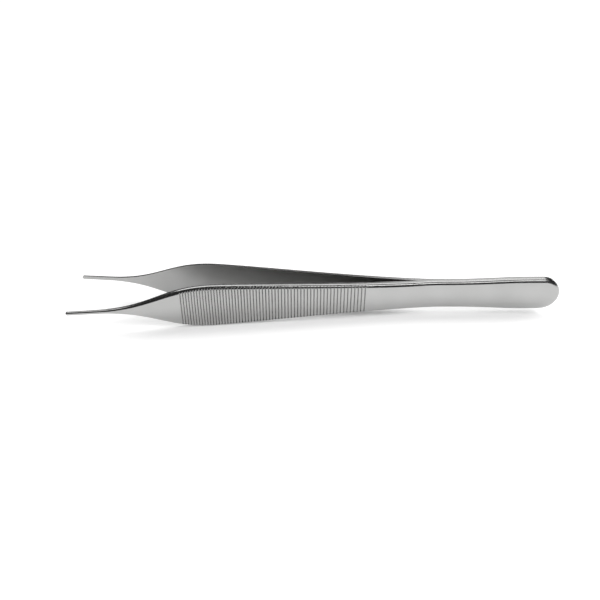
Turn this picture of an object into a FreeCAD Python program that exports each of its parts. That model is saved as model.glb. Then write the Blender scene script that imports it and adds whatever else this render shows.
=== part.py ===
# Thumb forceps of the fine-tipped 12 cm pattern: two sprung steel arms, welded face to face
# at the heel and standing apart at the tips. Each arm is one forging, ground all over, flat
# inside and rounded over along the edges of its outer face.
#
# Frame, in millimetres: X runs along the length with the tips at -X and the heel at +X,
# Y is the way the arms open, and Z is up across their width, because the forceps lies on the
# edges of its arms. The origin is under the middle of the part, on the surface it lies on.
#
# The near arm is drawn from its heel end and mirrored. A station is how far along the arm a
# place lies: straight along the weld as far as the bend, and then along the open arm.
import FreeCAD, Part
import math
import os

import Sketcher

doc = FreeCAD.newDocument("thumb_forceps")
sheet = doc.addObject("Spreadsheet::Sheet", "sizes")

DRIVING_SIZES = (
    ("overall_length", "120", "heel end to tip end"),
    ("heel_width", "8.65", "widest place of the welded heel, and its rounded end"),
    ("heel_thickness", "1.15", "one arm at the heel"),
    ("heel_land", "3.2", "straight part of the outline before the rounded end"),
    ("waist_width", "7.5", "narrowest place, where the arms part"),
    ("waist_land", "0.8", "straight part of the waist on each side of the bend"),
    ("waist_share", "0.6", "how much of the way to the heel curves inward, the rest outward"),
    ("waist_pull", "18.5", "how strongly the outline holds to the waist on its grip side"),
    ("grip_width", "11.4", "widest place, where finger and thumb press"),
    ("grip_reach", "34.4", "from that place to the tip end"),
    ("grip_thickness", "1.3", "one arm where its grip is widest"),
    ("grip_back_pull", "8", "how strongly the outline holds to the widest place from there"),
    ("grip_front_pull", "11.8", "the same from the tip side"),
    ("tip_pull", "13", "how strongly the outline holds to the narrow tip"),
    ("tip_length", "7.2", "straight part of the narrow tip"),
    ("tip_width", "0.85", "width of the narrow tip and its rounded end"),
    ("tip_thickness", "0.65", "one arm at its tip end"),
    ("spread_angle", "4.75", "degrees that an open arm leans from the middle of the part"),
    ("bend_station", "31", "corner of the outer face before the bend rounds it"),
    ("bend_radius", "60", "easy bend that sets the arm off from the weld"),
    ("parting_station", "35", "where the inner faces leave each other"),
    ("edge_radius", "0.8", "rounding along the outer face, as far as the grip"),
    ("tip_edge_radius", "0.36", "the same along the narrow tip"),
    ("groove_count", "60", "cross grooves on each grip"),
    ("groove_reach", "27.3", "from the nearest of them to the tip end"),
    ("back_groove_pitch", "0.86", "spacing at the heel end of the grip"),
    ("front_groove_pitch", "0.65", "spacing at the tip end of the grip"),
    ("groove_width", "0.42", "mouth of one V groove"),
    ("groove_depth", "0.32", "depth of one V groove"),
    ("tooth_count", "18", "fine cross grooves between the teeth inside each tip"),
    ("tooth_pitch", "0.5", "spacing of those teeth"),
    ("tooth_depth", "0.09", "depth between those teeth"),
    ("tooth_gap_width", "0.4", "mouth of the groove between two teeth"),
    ("tooth_end_land", "0.8", "smooth end of a tip before its last groove"),
)
for row, (alias, value, note) in enumerate(DRIVING_SIZES, start=1):
    sheet.set(f"A{row}", alias)
    sheet.set(f"B{row}", value)
    sheet.set(f"C{row}", note)
    sheet.setAlias(f"B{row}", alias)
doc.recompute()

# The blank is longer and wider than the outline that trims it, by this much at each side.
TRIM = 2.0
# A row of grooves is cut from this far above its face, and its tool is this much taller.
LIFT = 0.04
ROOF = 0.5


def size(alias):
    return float(getattr(sheet, alias))


def value_of(rule):
    """What a rule on the sheet comes to, in millimetres or as a plain number."""
    result = sheet.evalExpression(rule)
    return float(getattr(result, "Value", result))


def new_sketch(body, name, role):
    sketch = body.newObject("Sketcher::SketchObject", name)
    plane = next(plane for plane in body.Origin.OriginFeatures if plane.Role == role)
    sketch.AttachmentSupport = [(plane, "")]
    sketch.MapMode = "FlatFace"
    return sketch


def dimension(sketch, rule, kind, *where):
    index = sketch.addConstraint(Sketcher.Constraint(kind, *where, value_of(rule)))
    sketch.setExpression(f"Constraints[{index}]", rule)


def arc_between(start, end, radius, turn):
    """A circular arc of under half a turn. Turn is 1 to the left and -1 to the right."""
    chord = end - start
    to_left = FreeCAD.Vector(-chord.y, chord.x, 0).normalize()
    rise = math.sqrt(radius ** 2 - (chord.Length / 2) ** 2)
    centre = (start + end) / 2 + to_left * (turn * rise)
    first, last = (start, end) if turn > 0 else (end, start)
    angles = [math.atan2(point.y - centre.y, point.x - centre.x) for point in (first, last)]
    circle = Part.Circle(centre, FreeCAD.Vector(0, 0, 1), radius)
    return Part.ArcOfCircle(circle, *angles)


def draw_stretch(sketch, start, end, how):
    """Add one stretch and return its number and the names of its first and last ends."""
    if not how:
        return sketch.addGeometry(Part.LineSegment(start, end), False), 1, 2
    if isinstance(how[0], tuple):
        pulls = [FreeCAD.Vector(*map(value_of, pair), 0) for pair in how]
        shape = Part.BezierCurve()
        shape.setPoles([start, *pulls, end])
        index = sketch.addGeometry(shape.toBSpline(), False)
        sketch.exposeInternalGeometry(index)
        for number, (across, up) in enumerate(how, start=2):
            dimension(sketch, across, "DistanceX", -1, 1, index + number, 3)
            dimension(sketch, up, "DistanceY", -1, 1, index + number, 3)
        return index, 1, 2
    radius, turn = how
    index = sketch.addGeometry(arc_between(start, end, value_of(radius), turn), False)
    dimension(sketch, radius, "Radius", index)
    return (index, 1, 2) if turn > 0 else (index, 2, 1)


def close_outline(sketch, stretches):
    """Draw an outline, each stretch from where the one before it ends.

    A stretch is the two rules of its end, and then nothing for a line, a radius rule and a
    turn for an arc, or the places of two control points for a free curve.
    """
    ends = []
    start = FreeCAD.Vector(*map(value_of, stretches[-1][:2]), 0)
    for across, up, *how in stretches:
        end = FreeCAD.Vector(value_of(across), value_of(up), 0)
        index, first_end, last_end = draw_stretch(sketch, start, end, how)
        dimension(sketch, across, "DistanceX", -1, 1, index, last_end)
        dimension(sketch, up, "DistanceY", -1, 1, index, last_end)
        ends.append((index, first_end, last_end))
        start = end
    for (first, _, leaving), (second, entering, _) in zip(ends, ends[1:] + ends[:1]):
        sketch.addConstraint(
            Sketcher.Constraint("Coincident", first, leaving, second, entering))


# Rules for places on the near arm seen from above: a station along its outer face, and how
# deep under that face.
LEAN = "(sizes.spread_angle * 1 deg)"
BEND_REACH = f"(sizes.bend_radius * tan({LEAN} / 2))"
TIP_STATION = (f"(sizes.bend_station + (sizes.overall_length - sizes.bend_station"
               f" - sizes.tip_thickness * sin{LEAN}) / cos{LEAN})")
GRIP_STATION = f"({TIP_STATION} - sizes.grip_reach)"
NECK_STATION = f"({TIP_STATION} - sizes.tip_length)"


def on_open_arm(station, depth="0"):
    past_bend = f"({station} - sizes.bend_station)"
    return (f"-(sizes.bend_station + {past_bend} * cos{LEAN} + {depth} * sin{LEAN})",
            f"-(sizes.heel_thickness + {past_bend} * sin{LEAN} - {depth} * cos{LEAN})")


def front_depth(station):
    """How thick the open arm is at a station in front of the grip."""
    taper = (f"(sizes.grip_thickness - sizes.tip_thickness)"
             f" / sizes.grip_reach")
    return f"(sizes.grip_thickness - ({station} - {GRIP_STATION}) * {taper})"


def side_profile(body):
    """The near arm seen from above, with spare length at both ends."""
    sketch = new_sketch(body, "side_profile", "XY_Plane")
    blank_end = f"({TIP_STATION} + {TRIM})"
    close_outline(sketch, (
        (f"{TRIM}", "0"),
        (f"{TRIM}", "-sizes.heel_thickness"),
        (f"{BEND_REACH} - sizes.bend_station", "-sizes.heel_thickness"),
        (*on_open_arm(f"(sizes.bend_station + {BEND_REACH})"), "sizes.bend_radius", 1),
        on_open_arm(blank_end),
        on_open_arm(blank_end, front_depth(blank_end)),
        on_open_arm(GRIP_STATION, "sizes.grip_thickness"),
        ("-sizes.parting_station", "0"),
    ))
    return sketch


def flipped(how):
    """The same line, arc or curve drawn backwards along the other edge."""
    if how and isinstance(how[0], tuple):
        return [(across, f"-{up}") for across, up in reversed(how)]
    return how


def cut_round(sketch, start, half, far_end):
    """Outline of what is cut away round the upper half of an outline and its mirror image.

    The half is drawn from its start at the waist to its last place on the middle line.
    """
    side = f"(sizes.grip_width / 2 + {TRIM})"
    back = [(here[0], f"-{here[1]}", *flipped(beyond[2:]))
            for here, beyond in zip((start, *half)[-2::-1], half[::-1])]
    close_outline(sketch, (
        *half,
        *back,
        (start[0], f"-{side}"),
        (far_end, f"-{side}"),
        (far_end, side),
        (start[0], side),
        start,
    ))


def heel_outline(body):
    """What is trimmed off round the heel, as far as the straight waist."""
    sketch = new_sketch(body, "heel_outline", "XZ_Plane")
    heel, waist = "(sizes.heel_width / 2)", "(sizes.waist_width / 2)"
    land = f"({heel} + sizes.heel_land)"
    back = f"(sizes.bend_station - {BEND_REACH} - sizes.waist_land)"
    run, rise = f"({back} - {land})", f"({heel} - {waist})"
    radii = f"(({run} ^ 2 + {rise} ^ 2) / (2 * {rise}))"
    cut_round(sketch, ("-sizes.bend_station", waist), (
        (f"-{back}", waist),
        (f"-({back} - sizes.waist_share * {run})", f"({waist} + sizes.waist_share * {rise})",
         f"(sizes.waist_share * {radii})", 1),
        (f"-{land}", heel, f"((1 - sizes.waist_share) * {radii})", -1),
        (f"-{heel}", heel),
        ("0", "0", heel, -1),
    ), f"{2 * TRIM}")
    return sketch


def blade_outline(body):
    """What is trimmed off round the open arm, square to its outer face.

    The sketch leans with the arm, and its origin is at the corner of the bend.
    """
    sketch = new_sketch(body, "blade_outline", "XZ_Plane")
    sketch.AttachmentOffset = FreeCAD.Placement(
        FreeCAD.Vector(), FreeCAD.Rotation(FreeCAD.Vector(0, 1, 0), size("spread_angle")))
    sketch.setExpression("AttachmentOffset.Rotation.Angle", f"{LEAN}")
    sketch.setExpression("AttachmentOffset.Base.x", "-sizes.bend_station * 1 mm")
    sketch.setExpression("AttachmentOffset.Base.z", "sizes.heel_thickness * 1 mm")
    doc.recompute()
    waist, grip = "(sizes.waist_width / 2)", "(sizes.grip_width / 2)"
    tip = "(sizes.tip_width / 2)"
    front = f"({BEND_REACH} + sizes.waist_land)"
    widest, neck, end = (f"({station} - sizes.bend_station)"
                         for station in (GRIP_STATION, NECK_STATION, TIP_STATION))
    cut_round(sketch, (BEND_REACH, waist), (
        (f"-{front}", waist),
        (f"-{widest}", grip,
         (f"-({front} + sizes.waist_pull)", waist),
         (f"-({widest} - sizes.grip_back_pull)", grip)),
        (f"-{neck}", tip,
         (f"-({widest} + sizes.grip_front_pull)", grip),
         (f"-({neck} - sizes.tip_pull)", tip)),
        (f"-({end} - {tip})", tip),
        (f"-{end}", "0", tip, 1),
    ), f"-({end} + {2 * TRIM})")
    return sketch


def on_arm(station, depth):
    """A place on the open arm as a point, from the same rules as its profile."""
    along, across = on_open_arm(f"{station}", f"{depth}")
    return FreeCAD.Vector(value_of(along), value_of(across), 0)


def groove_row(body, name, places, lean, outward, width, depth):
    """Outline of a tool with a V for each place, standing just off the face that it cuts.

    The face leans away from the weld towards the tip. Outward is -1 for the face on the
    outside of the near arm and 1 for the one on its inside.
    """
    sketch = new_sketch(body, name, "XY_Plane")
    along = FreeCAD.Vector(-math.cos(lean), -math.sin(lean), 0)
    out = FreeCAD.Vector(-math.sin(lean), math.cos(lean), 0) * outward
    half_mouth = along * (width / 2 * (1 + LIFT / depth))
    points = []
    for place in places:
        points += [place - half_mouth + out * LIFT, place - out * depth,
                   place + half_mouth + out * LIFT]
    points += [points[-1] + out * ROOF, points[0] + out * ROOF]
    for first, second in zip(points, points[1:] + points[:1]):
        sketch.addGeometry(Part.LineSegment(first, second), False)
    return sketch


def grip_row(body):
    """The grip's cross grooves, which close up steadily towards the tip."""
    count = round(size("groove_count"))
    back, front = size("back_groove_pitch"), size("front_groove_pitch")
    station = value_of(TIP_STATION) - size("groove_reach")
    places = []
    for number in range(count):
        places.append(on_arm(station, 0))
        station -= front + (back - front) * number / max(count - 2, 1)
    places.reverse()
    return groove_row(body, "grip_row", places, math.radians(size("spread_angle")), -1,
                      size("groove_width"), size("groove_depth"))


def tooth_row(body):
    """The small grooves between the teeth inside a tip, the last one near its end."""
    places = []
    for number in reversed(range(round(size("tooth_count")))):
        back = size("tooth_end_land") + number * size("tooth_pitch")
        station = value_of(TIP_STATION) - back
        places.append(on_arm(station, value_of(front_depth(station))))
    run = places[-1] - places[0]
    return groove_row(body, "tooth_row", places, math.atan2(-run.y, -run.x), 1,
                      size("tooth_gap_width"), size("tooth_depth"))


def edges_round_outer_face(shape):
    """The numbers of the edges round an arm's broad outer face, each with its edge."""
    found = []
    for number, edge in enumerate(shape.Edges, start=1):
        middle = edge.valueAt((edge.FirstParameter + edge.LastParameter) / 2)
        slants = [-face.normalAt(*face.Surface.parameter(middle)).y
                  for face in shape.ancestorsOfType(edge, Part.Face)]
        if max(slants) > 0.9 and min(map(abs, slants)) < 0.2:
            found.append((number, edge))
    return found


def round_over(name, blank):
    """Round the outer edges over, less and less from the widest place to the narrow tip."""
    full = min(size("edge_radius"), 0.8 * size("heel_thickness"), 0.8 * size("grip_thickness"))
    slim = min(size("tip_edge_radius"), 0.45 * size("tip_width"), 0.6 * size("tip_thickness"))
    front = value_of(on_open_arm(f"(({GRIP_STATION} + {NECK_STATION}) / 2)")[0])
    rounded = doc.addObject("Part::Fillet", name)
    rounded.Base = blank
    rounded.Edges = [
        (number, *(slim if edge.valueAt(end).x < front else full
                   for end in (edge.FirstParameter, edge.LastParameter)))
        for number, edge in edges_round_outer_face(blank.Shape)]
    doc.recompute()
    return rounded


def cut_through(body, name, sketch):
    """Pocket a sketch right through the arm, both ways from its plane."""
    before = body.Tip.Shape.Volume
    pocket = body.newObject("PartDesign::Pocket", name)
    pocket.Profile = sketch
    pocket.SideType = "Symmetric"
    pocket.setExpression("Length", "sizes.overall_length / 2")
    doc.recompute()
    if pocket.Shape.Volume >= before:
        raise RuntimeError(f"{name} took nothing off the arm")


def make_near_arm():
    blank = doc.addObject("PartDesign::Body", "near_blank")
    plate = blank.newObject("PartDesign::Pad", "plate")
    plate.Profile = side_profile(blank)
    plate.SideType = "Symmetric"
    plate.setExpression("Length", f"sizes.grip_width + {TRIM}")
    doc.recompute()
    cut_through(blank, "trim_heel", heel_outline(blank))
    cut_through(blank, "trim_blade", blade_outline(blank))
    body = doc.addObject("PartDesign::Body", "near_arm")
    body.BaseFeature = round_over("near_rounded", blank)
    doc.recompute()
    cut_through(body, "grip_grooves", grip_row(body))
    cut_through(body, "tip_teeth", tooth_row(body))
    body.setExpression("Placement.Base.x", "sizes.overall_length / 2")
    body.setExpression("Placement.Base.z", "sizes.grip_width / 2")
    return body


def make_far_arm(near_arm):
    """The far arm is the near one's mirror image across the weld."""
    mirror = doc.addObject("Part::Mirroring", "far_arm")
    mirror.Source = near_arm
    mirror.Normal = FreeCAD.Vector(0, 1, 0)
    return mirror


near_arm = make_near_arm()
near_arm.Label = "near_arm"
far_arm = make_far_arm(near_arm)
far_arm.Label = "far_arm"
doc.recompute()

for thing in doc.Objects:
    if {"Invalid", "Error"} & set(thing.State):
        raise RuntimeError(f"{thing.Label} failed to build")
os.makedirs("parts", exist_ok=True)
for arm in (near_arm, far_arm):
    if arm.Shape.isNull() or not arm.Shape.isValid() or len(arm.Shape.Solids) != 1:
        raise RuntimeError(f"{arm.Label} is not one good solid")
    arm.Shape.exportStep(os.path.join("parts", f"{arm.Label}.step"))
    box = arm.Shape.optimalBoundingBox(False, False)
    print(f"{arm.Label}: {arm.Shape.Volume:.1f} mm3, {len(arm.Shape.Faces)} faces,"
          f" {box.XLength:.2f} x {box.YLength:.2f} x {box.ZLength:.2f} mm")
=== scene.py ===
import math

import bpy
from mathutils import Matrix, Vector

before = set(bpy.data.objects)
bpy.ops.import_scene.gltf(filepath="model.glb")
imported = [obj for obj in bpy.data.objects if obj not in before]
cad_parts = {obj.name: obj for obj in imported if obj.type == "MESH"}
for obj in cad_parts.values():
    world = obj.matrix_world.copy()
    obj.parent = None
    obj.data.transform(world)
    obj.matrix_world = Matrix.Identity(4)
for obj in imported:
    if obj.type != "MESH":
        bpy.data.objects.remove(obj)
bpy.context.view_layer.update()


# The camera stands 17 cm in front of the forceps and looks down on it by a little over a third
# of a right angle. It is so near that the far arm looks smaller than the near one. Here and
# below, lengths are in metres and angles in degrees. Only the lens is in millimetres.
LOOK_AT = Vector((-0.00421, 0, 0.00378))
CAMERA_DISTANCE = 0.17
CAMERA_TURN = -0.466
CAMERA_RISE = 34.42
LENS = 40.89
SENSOR_WIDTH = 36
NEAREST_SEEN = 0.001
FARTHEST_SEEN = 10


def stand(thing, centre, turn, rise, distance):
    """Stand a camera or lamp so far round from the front and so far up, facing the centre."""
    turn, rise = math.radians(turn), math.radians(rise)
    way_out = Vector((math.sin(turn) * math.cos(rise), -math.cos(turn) * math.cos(rise),
                      math.sin(rise)))
    thing.location = centre + way_out * distance
    thing.rotation_euler = way_out.to_track_quat("Z", "Y").to_euler()
    bpy.context.scene.collection.objects.link(thing)


camera = bpy.data.objects.new("camera", bpy.data.cameras.new("camera"))
camera.data.lens = LENS
camera.data.sensor_width = SENSOR_WIDTH
camera.data.clip_start = NEAREST_SEEN
camera.data.clip_end = FARTHEST_SEEN
stand(camera, LOOK_AT, CAMERA_TURN, CAMERA_RISE, CAMERA_DISTANCE)
bpy.context.scene.camera = camera
bpy.context.scene.view_settings.view_transform = "Standard"


# The two arms are forged from spring steel, ground to shape and welded together at the heel.
# Every face is brushed along the arm to a satin that throws no glare into the eyes. Handling
# has left it a little uneven and has worn the cross grooves, which run out over the edges.
STEEL_COLOUR = (0.46, 0.46, 0.456, 1)
WORN_STEEL_COLOUR = (0.40, 0.40, 0.396, 1)
STROKE_STRETCH = (60, 9000, 9000)
WEAR_SCALE = 180
NOISE_DETAIL = 3
NOISE_MIDDLE = 0.5
SATIN_ROUGHNESS = 0.2
INNER_ROUGHNESS = 0.12
WEAR_ROUGHNESS = 0.08
STROKE_ROUGHNESS = 0.05
STROKE_DEPTH = 0.000004
STROKE_STRENGTH = 0.5
FACE_FROM = 0.85
FACE_WHOLE = 0.99
CROWN_RADIUS = 0.02
MIDDLE_HEIGHT = 0.0057
GROOVES_FROM = -0.0335
GROOVES_TO = 0.0125
WALL_FROM = 0.3
WALL_WHOLE = 0.6
WALL_WEAR = 0.6
GRIP_HALF_WIDTH = 0.004546
GRIP_TAPER = -0.0445
GRIP_CURVE = 0.154
FLARE_FROM = -0.022
FLARE_CURVE = -976
GROOVE_END = 0.0008
GROOVE_END_TILT = 0.9


class Value:
    """The output of a shader node. Plain arithmetic on it adds the nodes that work it out."""

    def __init__(self, tree, socket=None):
        self.tree = tree
        self.socket = socket

    def node(self, kind, settings=None, inputs=None, output=0):
        """Add a node, set it up, feed its sockets, and give back one of its outputs."""
        made = self.tree.nodes.new(kind)
        for name, setting in (settings or {}).items():
            setattr(made, name, setting)
        for name, value in (inputs or {}).items():
            if isinstance(value, Value):
                self.tree.links.new(value.socket, made.inputs[name])
            else:
                made.inputs[name].default_value = value
        return Value(self.tree, made.outputs[output])

    def feed(self, shader, name):
        self.tree.links.new(self.socket, shader.inputs[name])

    def parts(self):
        """The X, Y and Z of a vector."""
        return [self.node("ShaderNodeSeparateXYZ", {}, {"Vector": self}, axis)
                for axis in range(3)]

    def fade(self, none, whole):
        """A soft step, from 0 where the value is none to 1 where it is whole."""
        return self.node("ShaderNodeMapRange", {"interpolation_type": "SMOOTHSTEP"}, {
            "Value": self, "From Min": none, "From Max": whole})

    def math(self, operation, first, second=0):
        return self.node("ShaderNodeMath", {"operation": operation}, {0: first, 1: second})

    def __add__(self, other):
        return self.math("ADD", self, other)

    def __radd__(self, other):
        return self.math("ADD", other, self)

    def __sub__(self, other):
        return self.math("SUBTRACT", self, other)

    def __rsub__(self, other):
        return self.math("SUBTRACT", other, self)

    def __mul__(self, other):
        return self.math("MULTIPLY", self, other)

    def __rmul__(self, other):
        return self.math("MULTIPLY", other, self)


def satin_steel():
    steel = bpy.data.materials.new("satin_steel")
    steel.use_nodes = True
    shader = steel.node_tree.nodes["Principled BSDF"]
    shader.inputs["Metallic"].default_value = 1
    nodes = Value(steel.node_tree)
    place = nodes.node("ShaderNodeTexCoord", output="Object")
    along, across, height = place.parts()
    facing = nodes.node("ShaderNodeNewGeometry", output="Normal")
    facing_along, facing_across, _ = facing.parts()

    # Fine strokes lie along the arm, and soft patches of wear lie over them.
    drawn = nodes.node("ShaderNodeMapping", {}, {"Vector": place, "Scale": STROKE_STRETCH})
    strokes = nodes.node("ShaderNodeTexNoise", {}, {
        "Vector": drawn, "Scale": 1, "Detail": NOISE_DETAIL})
    wear = nodes.node("ShaderNodeTexNoise", {}, {
        "Vector": place, "Scale": WEAR_SCALE, "Detail": NOISE_DETAIL})
    colour = nodes.node("ShaderNodeMix", {"data_type": "RGBA"}, {
        "Factor": wear, "A": STEEL_COLOUR, "B": WORN_STEEL_COLOUR}, "Result")
    colour.feed(shader, "Base Color")

    # The brush reaches the inner faces less well, so they are a little rougher.
    out = nodes.math("SIGN", across)
    outward = out * facing_across
    inner_face = (0 - outward).fade(FACE_FROM, FACE_WHOLE)
    roughness = (SATIN_ROUGHNESS + INNER_ROUGHNESS * inner_face
                 + WEAR_ROUGHNESS * (wear - NOISE_MIDDLE)
                 + STROKE_ROUGHNESS * (strokes - NOISE_MIDDLE))
    roughness.feed(shader, "Roughness")

    # Grinding leaves the outer faces slightly crowned from edge to edge.
    outer_face = outward.fade(FACE_FROM, FACE_WHOLE)
    off_middle = height - MIDDLE_HEIGHT
    crowned = nodes.node("ShaderNodeBump", {}, {
        "Strength": 1, "Distance": 1,
        "Height": off_middle * off_middle * (-1 / (2 * CROWN_RADIUS))}, "Normal")
    ground = nodes.node("ShaderNodeMix", {"data_type": "VECTOR"}, {
        "Factor": outer_face, "A": facing, "B": crowned}, "Result")

    # Half the width of the grip and the flare in front of it follows a curve along the arm. It
    # tells where a groove comes to its end at the upper or lower edge.
    flare = nodes.math("MAXIMUM", FLARE_FROM - along)
    half_width = (GRIP_HALF_WIDTH + GRIP_TAPER * along + GRIP_CURVE * along * along
                  + FLARE_CURVE * flare * flare * flare)
    up = nodes.math("SIGN", off_middle)
    groove_end = (half_width - up * off_middle).fade(GROOVE_END, GROOVE_END / 2)

    # The worn walls of the grooves lean outward, and at the groove's end upward or downward.
    wall = nodes.node("ShaderNodeMapRange", {}, {
        "Value": nodes.math("ABSOLUTE", facing_along),
        "From Min": WALL_FROM, "From Max": WALL_WHOLE})
    groove = (wall * nodes.math("GREATER_THAN", along, GROOVES_FROM)
              * nodes.math("LESS_THAN", along, GROOVES_TO))
    lean = nodes.node("ShaderNodeCombineXYZ", {}, {
        "Y": WALL_WEAR * out * groove * (1 - groove_end),
        "Z": GROOVE_END_TILT * up * groove * groove_end})
    leaning = nodes.node("ShaderNodeVectorMath", {"operation": "ADD"}, {0: ground, 1: lean})
    worn = nodes.node("ShaderNodeVectorMath", {"operation": "NORMALIZE"}, {0: leaning})
    brushed = nodes.node("ShaderNodeBump", {}, {
        "Strength": STROKE_STRENGTH, "Distance": STROKE_DEPTH, "Height": strokes,
        "Normal": worn}, "Normal")
    brushed.feed(shader, "Normal")
    return steel


steel = satin_steel()
for arm in ("near_arm", "far_arm"):
    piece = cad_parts[arm]
    piece.data.materials.clear()
    piece.data.materials.append(steel)


# The forceps lies on a wide, flat sheet of matt white paper. It is lit brightly enough to
# leave no horizon, and only a soft shadow shows on it.
SHEET_HALF = 1.5
SHEET_COLOUR = (0.95, 0.95, 0.95, 1)
SHEET_ROUGHNESS = 0.9
SHEET_GLOW_COLOUR = (1, 1, 1, 1)
SHEET_GLOW = 0.2


def white_paper():
    paper = bpy.data.materials.new("paper")
    paper.use_nodes = True
    shader = paper.node_tree.nodes["Principled BSDF"]
    shader.inputs["Base Color"].default_value = SHEET_COLOUR
    shader.inputs["Roughness"].default_value = SHEET_ROUGHNESS
    shader.inputs["Specular IOR Level"].default_value = 0
    shader.inputs["Emission Color"].default_value = SHEET_GLOW_COLOUR
    shader.inputs["Emission Strength"].default_value = SHEET_GLOW
    return paper


sheet = bpy.data.objects.new("sheet", bpy.data.meshes.new("sheet"))
sheet.data.from_pydata([(-SHEET_HALF, -SHEET_HALF, 0), (SHEET_HALF, -SHEET_HALF, 0),
                        (SHEET_HALF, SHEET_HALF, 0), (-SHEET_HALF, SHEET_HALF, 0)],
                       [], [(0, 1, 2, 3)])
sheet.data.materials.append(white_paper())
bpy.context.scene.collection.objects.link(sheet)


# Softboxes behind, above and in front draw the lines of light along the upper edges. Three
# stronger ones on the right light the paper alone, because they are left out of the steel's
# reflections, and they throw the short shadow under the grip forward and to the left.
SOFTBOX_DISTANCE = 1.5
ROOM_COLOUR = (0.04, 0.04, 0.04, 1)


def softbox(name, turn, rise, width, height, radiance, mirrored=True):
    light = bpy.data.lights.new(name, "AREA")
    light.shape = "RECTANGLE"
    light.size, light.size_y = width, height
    light.energy = radiance * math.pi * width * height
    lamp = bpy.data.objects.new(name, light)
    lamp.visible_glossy = mirrored
    stand(lamp, Vector((0, 0, 0)), turn, rise, SOFTBOX_DISTANCE)


softbox("back_softbox", turn=0, rise=121, width=1.7, height=1.15, radiance=1.6)
softbox("low_back_softbox", turn=158, rise=33, width=0.45, height=0.4, radiance=1.1)
softbox("front_softbox", turn=33, rise=53, width=0.6, height=0.6, radiance=2.4)
softbox("front_right_softbox", turn=68, rise=40, width=0.75, height=0.75, radiance=6,
        mirrored=False)
softbox("right_softbox", turn=97, rise=32, width=0.75, height=0.75, radiance=6.5,
        mirrored=False)
softbox("back_right_softbox", turn=125, rise=48, width=0.75, height=0.75, radiance=2.5,
        mirrored=False)

room = bpy.data.worlds.new("room")
room.use_nodes = True
room.node_tree.nodes["Background"].inputs["Color"].default_value = ROOM_COLOUR
bpy.context.scene.world = room
